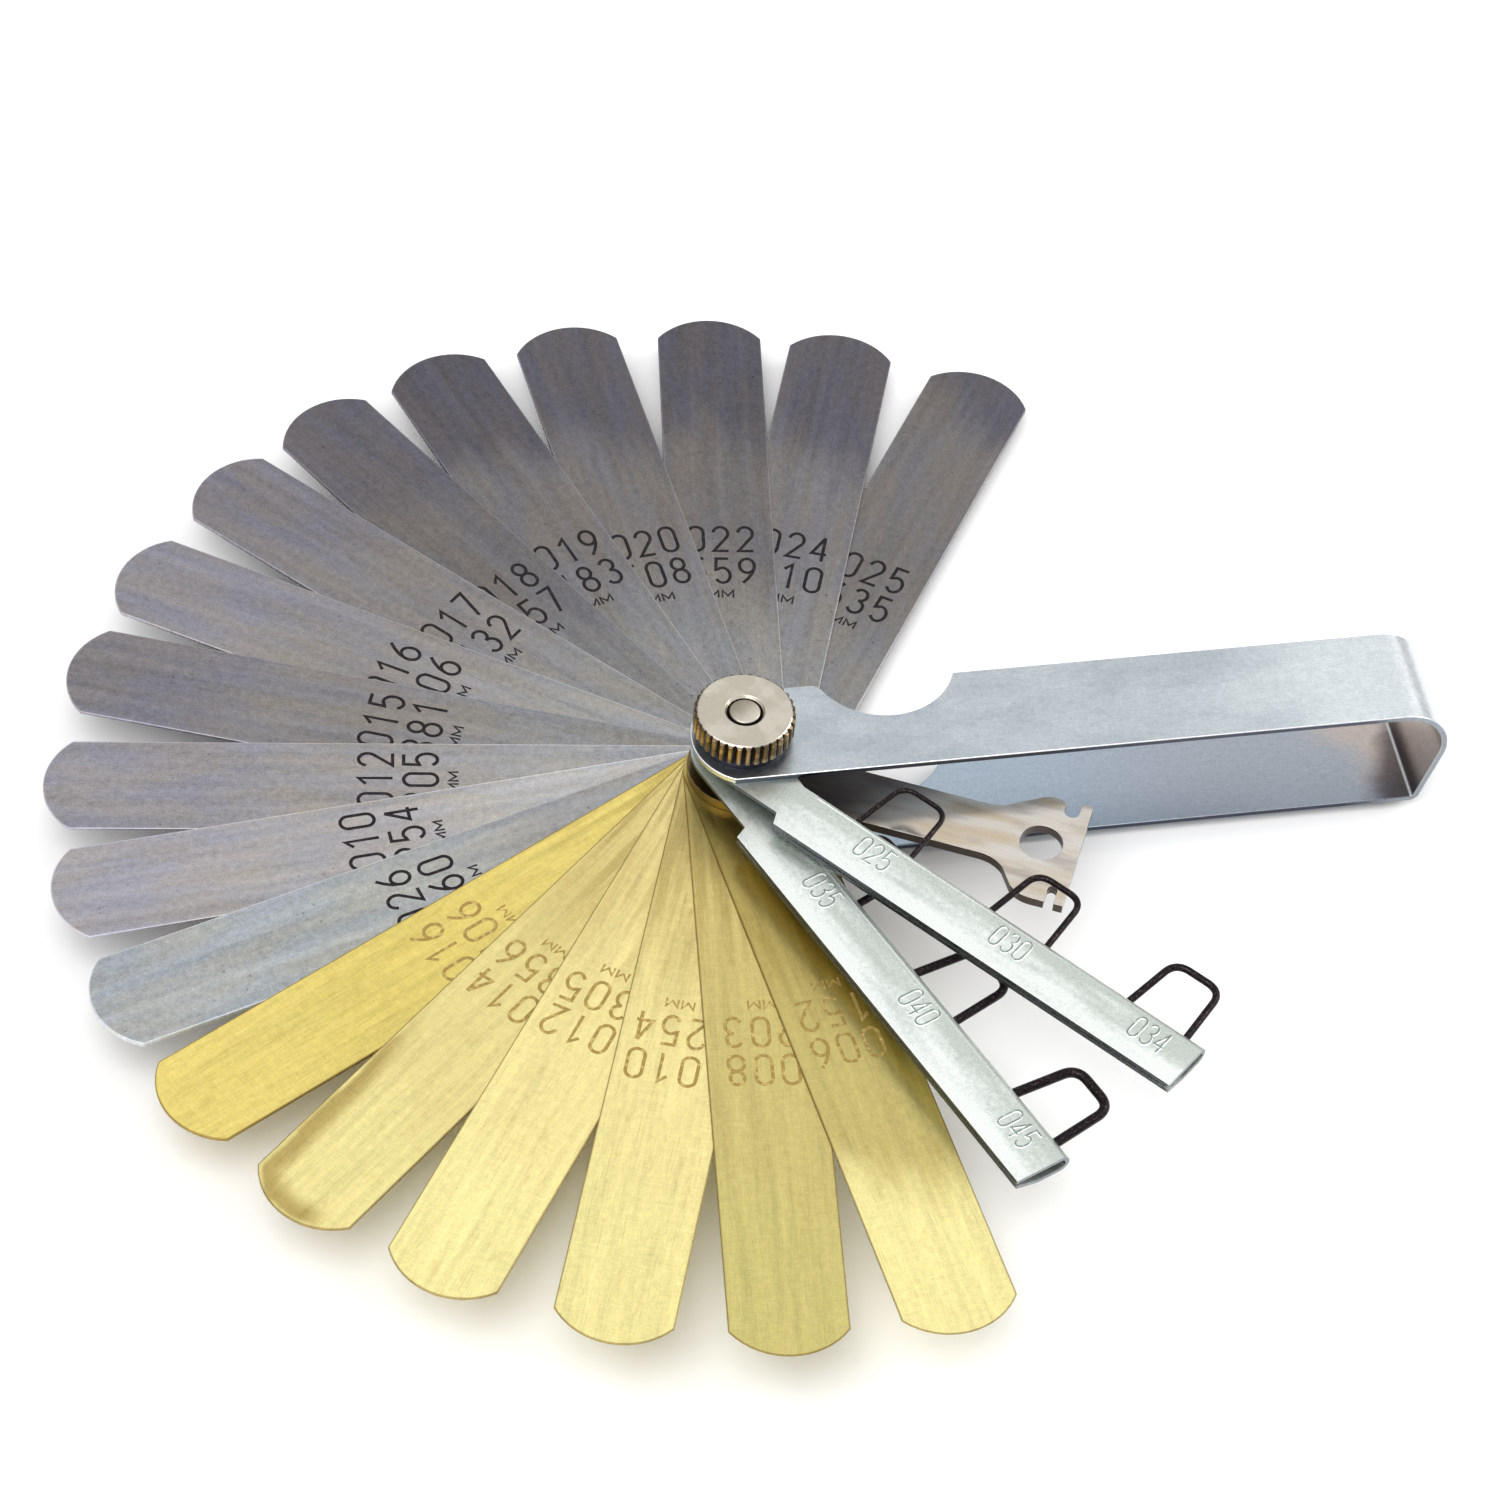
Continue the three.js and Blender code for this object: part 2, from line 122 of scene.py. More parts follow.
# Case, nut and screw end.
CASE_WIDTH = 12.75
NUT_RADIUS = 5.75
KNURL_DEPTH = 0.42
NUT_COLLAR_HEIGHT = 1.1
SCREW_RADIUS = 1.9
SCREW_CHAMFER = 0.25

# How far the sharp edges of each kind of piece are broken.
LEAF_EDGE = 0.07
LEAF_EDGE_SHARE = 0.2      # and at most this share of a thin leaf
HOLDER_EDGE = 0.07
CASE_EDGE = 0.16
SCREW_EDGE = 0.04
NUT_EDGE = 0.06
TOOL_EDGE = 0.12

PLAIN_GREY = (0.6, 0.6, 0.6, 1.0)


def tone(red, green, blue):
    """A display colour, 0 to 255, as a linear shader colour."""
    def linear(value):
        value /= 255
        return value / 12.92 if value <= 0.04045 else ((value + 0.055) / 1.055) ** 2.4
    return (linear(red), linear(green), linear(blue), 1.0)


# How the two metals' red, green and blue differ from a plain level at the tip, the middle and the root.
STEEL_CAST = ((2, 0, 6), (3, 0, 0), (0, 0, 0))
BRASS_CAST = ((0, -12, -84), (0, -15, -85), (0, -18, -88))
COOL_STEEL_CAST = ((-4, 0, 2), (-4, 0, 0), (0, 0, 0))
DEEP_BRASS_CAST = ((0, -20, -110), (0, -20, -110), (0, -20, -110))

# For each leaf: the brightness of its tip, middle and root, the outer edge of its first row of marks,
# and how far its marks sit to the left of the middle line. Some have tints of their own, a painted
# dark reflection along a curled edge, or a tone of the tip that starts further out.
leaf_looks = {
    "steel_leaf_025": dict(levels=(100, 120, 140), row=43.4, shift=0.0, tip_from=66.0),
    "steel_leaf_024": dict(levels=(100, 125, 145), row=43.9, shift=0.1),
    "steel_leaf_022": dict(levels=(95, 115, 150), row=43.3, shift=0.0),
    "steel_leaf_020": dict(levels=(100, 120, 145), row=43.0, shift=-0.5),
    "steel_leaf_019": dict(levels=(95, 120, 145), row=44.4, shift=-0.7),
    "steel_leaf_018": dict(levels=(105, 115, 135), row=43.1, shift=-0.1),
    "steel_leaf_017": dict(levels=(130, 135, 150), row=43.4, shift=-0.4),
    "steel_leaf_016": dict(levels=(145, 145, 160), row=45.0, shift=0.3),
    "steel_leaf_015": dict(levels=(130, 135, 145), row=43.5, shift=-0.5),
    "steel_leaf_012": dict(levels=(150, 155, 165), row=42.9, shift=-1.0),
    "steel_leaf_010": dict(levels=(165, 170, 185), row=45.1, shift=-0.8),
    "steel_leaf_026": dict(levels=(175, 175, 160), row=43.3, shift=-0.2, cast=COOL_STEEL_CAST),
    "brass_leaf_016": dict(levels=(235, 230, 235), row=43.5, shift=-0.2, cast=DEEP_BRASS_CAST),
    "brass_leaf_014": dict(levels=(240, 235, 225), row=43.1, shift=-0.8, rolled_edge=(170, 142, 74)),
    "brass_leaf_012": dict(levels=(250, 245, 240), row=42.5, shift=-0.9),
    "brass_leaf_010": dict(levels=(245, 245, 230), row=44.3, shift=-1.0),
    "brass_leaf_008": dict(levels=(210, 210, 215), row=43.6, shift=-0.2),
    "brass_leaf_006": dict(levels=(250, 205, 190), row=42.0, shift=-0.5),
}


# ---- node building ---------------------------------------------------------------------------

class Signal:
    """A socket's number or colour. Arithmetic on numbers adds Math nodes."""

    def __init__(self, nodes, socket):
        self.nodes = nodes
        self.socket = socket

    def __add__(self, other):
        return self.nodes.maths("ADD", self, other)

    def __radd__(self, other):
        return self.nodes.maths("ADD", other, self)

    def __sub__(self, other):
        return self.nodes.maths("SUBTRACT", self, other)

    def __rsub__(self, other):
        return self.nodes.maths("SUBTRACT", other, self)

    def __mul__(self, other):
        return self.nodes.maths("MULTIPLY", self, other)

    def __rmul__(self, other):
        return self.nodes.maths("MULTIPLY", other, self)

    def __pow__(self, other):
        return self.nodes.maths("POWER", self, other)

    def __abs__(self):
        return self.nodes.maths("ABSOLUTE", self)


class Nodes:
    """Builds a node tree one node at a time."""

    def __init__(self, tree):
        self.tree = tree
        tree.nodes.clear()

    def add(self, kind, settings=None, sockets=None, output=0):
        made = self.tree.nodes.new(kind)
        for name, value in (settings or {}).items():
            setattr(made, name, value)
        for name, value in (sockets or {}).items():
            if isinstance(value, Signal):
                self.tree.links.new(value.socket, made.inputs[name])
            else:
                made.inputs[name].default_value = value
        return Signal(self, made.outputs[output])

    def maths(self, operation, first, second=0.0):
        return self.add("ShaderNodeMath", {"operation": operation}, {0: first, 1: second})

    def rise(self, value, start, end):
        """0 before start and 1 after end, with a smooth ramp between."""
        return self.add("ShaderNodeMapRange", {"interpolation_type": "SMOOTHSTEP"},
                        {"Value": value, "From Min": start, "From Max": end})

    def vector(self, x, y, z):
        return self.add("ShaderNodeCombineXYZ", None, {0: x, 1: y, 2: z})

    def noise(self, x, y, z, detail=3.0):
        """Noise from 0 to 1, with cells one unit wide."""
        return self.add("ShaderNodeTexNoise", None,
                        {"Vector": self.vector(x, y, z), "Scale": 1.0, "Detail": detail})

    def pits(self, x, y, z, size):
        """1 in scattered round pits of this radius, in cells one unit wide."""
        cell = {"Vector": self.vector(x, y, z), "Scale": 1.0}
        distance = self.add("ShaderNodeTexVoronoi", None, cell)
        chance = self.add("ShaderNodeSeparateColor", None,
                          {0: self.add("ShaderNodeTexVoronoi", None, cell, 1)})
        return (1 - self.rise(distance, size * 0.5, size)) * self.rise(chance, 0.60, 0.66)

    def mix(self, first, second, share):
        return self.add("ShaderNodeMix", {"data_type": "RGBA"}, {0: share, 6: first, 7: second}, 2)

    def scale(self, colour, amount):
        return self.add("ShaderNodeVectorMath", {"operation": "SCALE"}, {0: colour, 3: amount})

    def tint(self, colour, by):
        return self.add("ShaderNodeVectorMath", {"operation": "MULTIPLY"}, {0: colour, 1: by})


class Finish(Nodes):
    """A metal finish: a Principled shader whose colour, roughness and bump vary over the piece."""

    def __init__(self, name, metallic=1.0):
        self.material = bpy.data.materials.new(name)
        self.material.use_nodes = True
        super().__init__(self.material.node_tree)
        self.shader = self.tree.nodes.new("ShaderNodeBsdfPrincipled")
        self.shader.inputs["Metallic"].default_value = metallic
        end = self.tree.nodes.new("ShaderNodeOutputMaterial")
        self.tree.links.new(self.shader.outputs[0], end.inputs[0])
        self.material.diffuse_color = PLAIN_GREY

    def along_arm(self, vector, angle):
        """The parts of a vector along u, v and z, for an arm that rests at this angle."""
        x, y, z = (self.add("ShaderNodeSeparateXYZ", None, {0: vector}, axis) for axis in range(3))
        cosine, sine = math.cos(angle), math.sin(angle)
        return x * cosine + y * sine, y * cosine - x * sine, z

    def place(self, angle=0.0):
        """u, v and z of the surface point, in millimetres."""
        spot = self.add("ShaderNodeTexCoord", output=3)
        return tuple(part * (1 / MM) for part in self.along_arm(spot, angle))

    def upright(self):
        """1 on faces that stand upright, such as cut edges, and 0 on level ones."""
        facing = self.add("ShaderNodeTexCoord", output=1)
        facing_up = self.add("ShaderNodeSeparateXYZ", None, {0: facing}, 2)
        return 1 - self.rise(abs(facing_up), 0.35, 0.75)

    def surface(self, colour, roughness, height, depth):
        """Connects the finish. Height runs from 0 to 1 and depth is in millimetres."""
        bump = self.add("ShaderNodeBump", None, {"Height": height, "Distance": depth * MM})
        links = {"Base Color": colour, "Roughness": roughness, "Normal": bump}
        for name, signal in links.items():
            self.tree.links.new(signal.socket, self.shader.inputs[name])
        return self.material


# ---- finishes --------------------------------------------------------------------------------

def leaf_rim(f, u, v):
    """How far inside the rim of its leaf a point lies, in millimetres."""
    side = LEAF_WIDTH / 2 - abs(v)
    along = u - (LEAF_REACH - TIP_RADIUS)
    from_tip_centre = (along * along + v * v) ** 0.5
    tip = (TIP_RADIUS - from_tip_centre) + (1 - f.rise(along, 0.0, 1.0)) * LEAF_REACH
    return f.maths("MINIMUM", side, tip)


def leaf_colour(f, look, metal_cast, u, v, seed):
    """The slow change of tone from root to tip."""
    wander = (f.noise(u * 0.08, v * 0.25, seed) - 0.5) * 14
    tip_from = look.get("tip_from", 53.0)
    toward_tip = f.rise(u + wander - v * 0.5, tip_from, tip_from + 10.0)
    toward_root = 1 - f.rise(u + wander, 20.0, 44.0)
    casts = look.get("cast", metal_cast)
    tip, middle, root = (tone(*(level + part for part in cast))
                         for level, cast in zip(look["levels"], casts))
    return f.mix(f.mix(middle, tip, toward_tip), root, toward_root)


def steel_leaf_finish(node, look, seed):
    """Rolled spring steel: lengthwise streaks, faint oil tints, pin-prick pits and a painted highlight
    on the rims and cut edges.
    """
    f = Finish(node + "_finish")
    u, v, _ = f.place(rest_angle[node])
    colour = leaf_colour(f, look, STEEL_CAST, u, v, seed)
    streak = f.noise(u * 0.04, v * 0.7, seed + 3.0, 4.0)
    oil = f.rise(f.noise(u * 0.09, v * 0.34, seed + 9.0), 0.34, 0.66)
    colour = f.tint(colour, f.mix((0.965, 0.985, 1.05, 1.0), (1.05, 1.01, 0.94, 1.0), oil))
    grain = f.noise(u * 0.8, v * 9.0, seed + 5.0, 2.0)
    mottle = f.noise(u * 1.3, v * 1.3, seed + 15.0, 4.0)
    fine = f.noise(u * 4.5, v * 4.5, seed + 25.0, 2.0)
    rusty = f.rise(f.noise(u * 0.1, v * 0.2, seed + 21.0), 0.46, 0.60)
    pitted = f.pits(u * 0.8, v * 0.8, seed, 0.16) * rusty
    shade = streak * 0.62 + grain * 0.34 + mottle * 0.50 + fine * 0.62 - pitted * 0.40 - 0.05
    # Painted highlight on the rim and on the cut faces.
    edge_highlight = f.maths("MAXIMUM", 1 - f.rise(leaf_rim(f, u, v), 0.05, 0.20), f.upright())
    colour = f.scale(colour, shade + edge_highlight * 0.62)
    roughness = 0.28 + streak * 0.12 + mottle * 0.10
    return f.surface(colour, roughness, grain * 0.4 + fine * 0.4 + mottle * 0.2 - pitted, 0.005)


def brass_leaf_finish(node, look, seed):
    """Rolled brass: fine scratches both ways, small brown stains and painted shade on the rims and cut
    edges.
    """
    f = Finish(node + "_finish")
    u, v, _ = f.place(rest_angle[node])
    colour = leaf_colour(f, look, BRASS_CAST, u, v, seed)
    streak = f.noise(u * 0.05, v * 1.0, seed + 3.0, 4.0)
    grain = f.noise(u * 0.7, v * 11.0, seed + 5.0, 2.0)
    cross = f.noise(u * 5.0, v * 0.5, seed + 8.0, 2.0)
    mottle = f.noise(u * 1.2, v * 1.2, seed + 15.0, 4.0)
    fine = f.noise(u * 4.5, v * 4.5, seed + 25.0, 2.0)
    scratch = f.rise(f.noise(u * 0.16, v * 6.0, seed + 12.0, 1.0), 0.64, 0.72)
    stain = f.rise(f.noise(u * 0.30, v * 0.8, seed + 17.0, 4.0), 0.54, 0.80)
    smear = f.rise(f.noise(u * 0.06, v * 0.8, seed + 19.0, 4.0), 0.40, 0.66)
    grime = (1 - f.rise(u, 12.0, 42.0)) * smear
    colour = f.mix(colour, tone(190, 164, 92), stain * 0.30)
    colour = f.mix(colour, tone(150, 122, 58), grime * 0.38)
    # Painted dark reflection of a curled edge, in a band inside the rim near the tip.
    if "rolled_edge" in look:
        wavy = f.noise(u * 0.12, v * 0.2, seed + 30.0) * 2.0 + leaf_rim(f, u, v)
        along = f.rise((u - 62.0) * 0.14 - v * 0.4, 0.0, 1.6)
        rolled_reflection = f.rise(wavy, 1.0, 1.8) * (1 - f.rise(wavy, 2.2, 4.6)) * along
        colour = f.mix(colour, tone(*look["rolled_edge"]), rolled_reflection * 0.75)
    # Painted shade on the rim and on the cut faces.
    edge_shade = f.maths("MAXIMUM", 1 - f.rise(leaf_rim(f, u, v), 0.06, 0.22), f.upright())
    colour = f.mix(colour, tone(126, 96, 48), edge_shade * 0.75)
    shade = 0.26 + streak * 0.40 + grain * 0.34 + cross * 0.20 + mottle * 0.24
    shade = shade + fine * 0.26 - scratch * 0.12
    roughness = 0.26 + streak * 0.12 + stain * 0.12
    height = grain * 0.4 + cross * 0.3 + fine * 0.3 - scratch
    return f.surface(f.scale(colour, shade), roughness, height, 0.005)


def case_finish():
    """Zinc-plated strip: blue-grey satin, painted shade on the cut edges, a painted warm reflection and
    painted shade in the closed end, and painted highlights on its bends and top edges.
    """
    f = Finish("case_zinc_plate")
    x, y, z = f.place()
    cloud = f.noise(x * 0.10, y * 0.22, z * 0.22, 3.0)
    mottle = f.noise(x * 1.6, y * 1.6, z * 1.6, 4.0)
    fine = f.noise(x * 4.5, y * 4.5, z * 4.5, 2.0)
    grain = f.noise(x * 0.6, y * 7.0, z * 7.0, 2.0)
    colour = f.mix(tone(177, 186, 193), tone(192, 199, 204), f.rise(cloud, 0.36, 0.64))
    colour = f.mix(colour, tone(222, 229, 232), f.rise(x + cloud * 10, 52.0, 78.0) * 0.85)
    low, high = (corner.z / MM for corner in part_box("case"))
    facing_end, _, facing_up = f.along_arm(f.add("ShaderNodeTexCoord", output=1), 0.0)
    inside = (1 - f.rise(z, high - 2.4, high - 0.8)) * (1 - f.rise(facing_end, 0.1, 0.3))
    floor_tone = f.mix(tone(170, 184, 198), tone(166, 172, 182), f.rise(x, 28.0, 62.0))
    colour = f.mix(colour, floor_tone, 1 - f.rise(z, low + 2.0, low + 3.0))
    # Painted warm reflection inside the closed end.
    warm = f.rise(x + cloud * 12 + y * 0.6, 75.0, 82.0) * inside
    colour = f.mix(colour, tone(196, 182, 172), warm * 0.80)
    # Painted shade in the inner corner of the closed end, low down.
    painted_shade = f.rise(x - y * 0.35 + cloud * 5, 76.5, 80.0) * (1 - f.rise(z, low + 1.6, low + 4.0))
    colour = f.mix(colour, tone(70, 64, 72), painted_shade * 0.75)
    # Painted highlight on the bends of the closed end.
    bend_highlight = f.rise(abs(facing_end), 0.05, 0.45) * (1 - f.rise(abs(facing_end), 0.60, 0.97))
    colour = f.mix(colour, tone(236, 241, 245), bend_highlight * f.rise(x, 74.0, 77.0) * 0.45)
    glint = f.rise(facing_up, 0.25, 0.55) * (1 - f.rise(facing_up, 0.90, 0.995))
    # Painted shade on the cut faces along the sides, paler towards the closed end.
    cut_face_shade = f.mix(tone(56, 58, 72), tone(138, 145, 152), f.rise(x, 70.0, 77.0))
    cut = f.upright() * f.rise(abs(y), CASE_WIDTH / 2 - 0.1, CASE_WIDTH / 2)
    colour = f.mix(colour, cut_face_shade, cut * 0.94)
    colour = f.mix(colour, tone(250, 251, 255), glint * f.rise(z, high - 0.6, high - 0.3))
    shade = 0.50 + mottle * 0.32 + fine * 0.44 + grain * 0.26
    height = mottle * 0.4 + fine * 0.3 + grain * 0.3
    return f.surface(f.scale(colour, shade), 0.24 + mottle * 0.12 + cloud * 0.06, height, 0.008)


def holder_finish(node, seed):
    """Mottled zinc with a painted sheen, brighter along the open edge, painted shade on the cut faces,
    and duller and speckled towards the fold.
    """
    f = Finish(node + "_finish")
    u, v, _ = f.place(rest_angle[node])
    mottle = f.noise(u * 1.6, v * 1.6, seed, 5.0)
    fine = f.noise(u * 5.5, v * 5.5, seed + 4.0, 3.0)
    band = f.noise(u * 0.07, v * 0.4, seed + 6.0, 2.0)
    # Mottling with a painted sheen that grows brighter towards the open edge.
    light = f.rise(mottle * 0.5 + band * 1.1 - v * 0.10, 0.92, 1.50)
    colour = f.mix(tone(200, 207, 201), tone(243, 248, 244), light)
    specks = f.rise(f.noise(u * 3.6, v * 3.6, seed + 8.0, 4.0), 0.56, 0.68)
    toward_fold = f.rise(v, -4.6, -0.8)
    colour = f.mix(colour, tone(136, 142, 134), specks * (0.06 + toward_fold * 0.42))
    # Painted shade on the cut faces, paler at the far end.
    at_end = f.rise(u, HOLDER_REACH - 0.4, HOLDER_REACH - 0.1)
    cut_face_shade = f.mix(tone(46, 48, 62), tone(128, 132, 140), at_end)
    colour = f.mix(colour, cut_face_shade, f.upright() * 0.92)
    colour = f.scale(colour, 0.70 + fine * 0.60)
    return f.surface(colour, 0.30 + mottle * 0.18, mottle * 0.3 + fine * 0.7 - specks * 0.6, 0.014)


def wire_finish():
    """Dark music wire with drawing marks along it."""
    f = Finish("dark_music_wire", 0.9)
    x, y, z = f.place()
    drawn = f.noise(x * 3.0, y * 3.0, z * 12.0, 4.0)
    colour = f.mix(tone(30, 25, 28), tone(76, 64, 62), f.rise(drawn, 0.50, 0.72))
    return f.surface(colour, 0.26 + drawn * 0.16, drawn, 0.010)


def tool_finish():
    """Polished nickel: warm cloudy patches, painted shade on the cut edges, a painted shadow near the
    pivot and a painted brass reflection round the pivot hole.
    """
    node = "gap_bending_tool"
    f = Finish("gap_tool_nickel")
    u, v, _ = f.place(rest_angle[node])
    cloud = f.noise(u * 0.07, v * 0.36, 2.0, 2.0)
    haze = f.noise(u * 0.12, v * 0.50, 6.0, 2.0)
    fine = f.noise(u * 4.5, v * 4.5, 8.0, 2.0)
    colour = f.mix(tone(216, 211, 204), tone(202, 187, 164), f.rise(cloud, 0.36, 0.64))
    colour = f.mix(colour, tone(158, 148, 142), f.rise(haze, 0.44, 0.70) * 0.60)
    # Painted shadow on the arm near the pivot, under the case.
    painted_shade = 1 - f.rise(u - v * 0.8 + cloud * 8, 17.0, 27.0)
    colour = f.mix(colour, tone(52, 46, 52), painted_shade * 0.85)
    # Painted shade on the cut faces.
    colour = f.mix(colour, tone(58, 48, 46), f.upright() * 0.92)
    # Painted brass reflection round the pivot hole.
    eye_brass_reflection = 1 - f.rise((u * u + v * v) ** 0.5, 6.2, 8.0)
    colour = f.mix(colour, tone(112, 98, 66), eye_brass_reflection * 0.85)
    brushing = f.noise(u * 0.8, v * 8.0, 4.0, 2.0)
    colour = f.scale(colour, 0.80 + brushing * 0.18 + fine * 0.24)
    return f.surface(colour, 0.15 + haze * 0.14, brushing * 0.4 + haze * 0.3 + fine * 0.3, 0.006)


def nut_finish():
    """Nickel-plated brass: a pale turned face, worn crests, painted black shade in the knurl grooves
    and a painted dark reflection on the collar.
    """
    f = Finish("nut_nickel")
    x, y, z = f.place()
    radius = (x * x + y * y) ** 0.5
    low, high = (corner.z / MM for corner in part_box("knurled_nut"))
    turning = f.noise(radius * 7.0, 3.0, 1.0, 2.0)
    haze = f.noise(x * 0.35, y * 0.35, z * 0.8, 3.0)
    fine = f.noise(x * 5.0, y * 5.0, z * 5.0, 2.0)
    face = f.mix(tone(196, 189, 174), tone(210, 204, 190), f.rise(haze, 0.40, 0.60))
    worn = f.mix(tone(98, 82, 62), tone(146, 124, 94), f.rise(haze, 0.4, 0.6))
    # Painted black shade in the bottoms of the knurl grooves, worn crests on the teeth.
    knurl_shade_and_wear = f.mix(tone(16, 14, 16), worn, f.rise(radius, NUT_RADIUS - KNURL_DEPTH, NUT_RADIUS - 0.08))
    beside = f.rise(radius, NUT_RADIUS - 1.2, NUT_RADIUS - 0.8)
    colour = f.mix(face, knurl_shade_and_wear, beside * (1 - f.rise(z, high - 0.20, high - 0.02)))
    # Painted dark reflection on the plain collar below the knurl.
    collar = 1 - f.rise(z, low + NUT_COLLAR_HEIGHT - 0.05, low + NUT_COLLAR_HEIGHT + 0.05)
    colour = f.mix(colour, tone(36, 35, 46), collar)
    colour = f.scale(colour, 0.78 + turning * 0.20 + fine * 0.22)
    return f.surface(colour, 0.22 + haze * 0.14, turning * 0.6 + fine * 0.4, 0.003)


def screw_finish():
    """Turned steel end, painted lighter to one side as shading of its dimple, with a dark thread shadow
    round it.
    """
    f = Finish("screw_steel")
    x, y, z = f.place()
    radius = (x * x + y * y) ** 0.5
    turning = f.noise(radius * 6.0, 5.0, z * 0.5, 2.0)
    haze = f.noise(x * 1.2, y * 1.2, z, 2.0)
    # Painted shading of the dimple in the end, lighter towards one side.
    dimple_shading = f.rise(haze * 0.3 + (x * 0.5 - y * 0.8) * 0.4, -0.45, 0.75)
    colour = f.mix(tone(148, 138, 124), tone(216, 210, 196), dimple_shading)
    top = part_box("pivot_screw")[1].z / MM
    tip = f.rise(z, top - 1.0, top - 0.6)
    shadow = f.rise(radius, SCREW_RADIUS - SCREW_CHAMFER, SCREW_RADIUS - SCREW_CHAMFER * 0.5)
    colour = f.mix(colour, tone(18, 16, 18), shadow * tip)
    return f.surface(f.scale(colour, 0.86 + turning * 0.28), 0.20 + haze * 0.12, turning, 0.004)


def ink_finish(name, dark, light, seed):
    """Etched or struck marks, a little uneven where they are worn."""
    f = Finish(name, 0.0)
    f.shader.inputs["Specular IOR Level"].default_value = 0.15
    x, y, _ = f.place()
    wear = f.noise(x * 1.6, y * 1.6, seed, 4.0)
    colour = f.mix(tone(*dark), tone(*light), f.rise(wear, 0.46, 0.70))
    return f.surface(colour, 0.50 + wear * 0.2, wear, 0.004)


# ---- shaping ---------------------------------------------------------------------------------

def arm_matrix(angle, height):
    """From an arm's own millimetres to the frame. The height is in metres."""
    turn = Matrix.Rotation(angle, 4, "Z")
    return Matrix.Translation((0.0, 0.0, height)) @ turn @ Matrix.Scale(MM, 4)


def settle(name, mesh_data, material, body, replaced=None):
    """Links a piece, gives it its finish and makes it ride on its body."""
    piece = bpy.data.objects.new(name, mesh_data)
    bpy.context.scene.collection.objects.link(piece)
    mesh_data.materials.clear()
    mesh_data.materials.append(material)
    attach(piece, body)
    if replaced:
        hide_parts(replaced)
    return piece


def shaded(mesh_data, crease=30):
    mesh_data.shade_smooth()
    mesh_data.set_sharp_from_angle(angle=math.radians(crease))
    return mesh_data


def dressed_copy(node, material, edge):
    """The node's own shape with its sharp edges broken."""
    shape = bmesh.new()
    shape.from_mesh(frame["nodes"][node].data)
    bmesh.ops.remove_doubles(shape, verts=shape.verts, dist=1e-6)
    bmesh.ops.dissolve_limit(shape, angle_limit=math.radians(0.4), verts=shape.verts, edges=shape.edges)
    mesh_data = bpy.data.meshes.new(node + "_dressed")
    shape.to_mesh(mesh_data)
    shape.free()
    body = frame["nodes"][node]["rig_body"]
    piece = settle(node + "_dressed", shaded(mesh_data), material, body, node)
    broken = piece.modifiers.new("broken_edges", "BEVEL")
    broken.width = edge * MM
    broken.segments = 2
    broken.limit_method = "ANGLE"
    broken.angle_limit = math.radians(38)
    broken.harden_normals = True


def bow(x, y, wide, tall, start, end, steps=14):
    """Points on an upright oval, from one angle to another in degrees."""
    angles = [math.radians(start + (end - start) * i / steps) for i in range(steps + 1)]
    return [(x + wide * math.cos(a), y + tall * math.sin(a)) for a in angles]


GLYPH_WIDTH = 0.46
HALF = GLYPH_WIDTH / 2

# Each glyph is a list of (points, closed) strokes, one unit tall.
six = [(bow(HALF, 0.29, HALF, 0.29, 0, 360, 24)[:-1], True),
       ([(0.38, 1.0), (0.22, 0.82), (0.08, 0.60), (0.01, 0.36)], False)]
glyphs = {
    "0": [(bow(HALF, 1 - HALF, HALF, HALF, 0, 180) + bow(HALF, HALF, HALF, HALF, 180, 360), True)],
    "1": [([(0.06, 0.78), (0.28, 1.0), (0.28, 0.0)], False)],
    "2": [(bow(HALF, 0.73, HALF, 0.27, 170, -35) + [(0.0, 0.0), (GLYPH_WIDTH, 0.0)], False)],
    "3": [(bow(HALF, 0.77, HALF * 0.9, 0.23, 155, -90), False),
          (bow(HALF, 0.27, HALF, 0.27, 90, -155), False)],
    "4": [([(0.34, 0.0), (0.34, 1.0)], False),
          ([(0.34, 1.0), (0.0, 0.30), (GLYPH_WIDTH, 0.30)], False)],
    "5": [([(0.43, 1.0), (0.05, 1.0), (0.03, 0.54)] + bow(HALF, 0.31, HALF, 0.31, 125, -150), False)],
    "6": six,
    "7": [([(0.0, 1.0), (GLYPH_WIDTH, 1.0), (0.15, 0.0)], False)],
    "8": [(bow(HALF, 0.765, HALF * 0.86, 0.235, 0, 360, 20)[:-1], True),
          (bow(HALF, 0.265, HALF, 0.265, 0, 360, 24)[:-1], True)],
    "9": [([(GLYPH_WIDTH - x, 1 - y) for x, y in points], closed) for points, closed in six],
    ".": [([(0.0, 0.03), (0.02, 0.03)], False)],
    "M": [([(0.0, 0.0), (0.0, 1.0), (0.58, 0.25), (1.16, 1.0), (1.16, 0.0)], False)],
}


def offsets(points, closed, half_width):
    """The two sides of a stroke, mitred at its corners."""
    count = len(points)
    left, right = [], []
    for i, here in enumerate(points):
        before = points[i - 1] if closed or i else None
        after = points[(i + 1) % count] if closed or i < count - 1 else None
        runs = [(here - before).normalized()] if before is not None else []
        runs += [(after - here).normalized()] if after is not None else []
        normals = [Vector((-run.y, run.x)) for run in runs]
        middle = sum(normals, Vector((0.0, 0.0))).normalized()
        reach = half_width / max(middle.dot(normals[0]), 0.5)
        left.append(here + middle * reach)
        right.append(here - middle * reach)
    return left, right


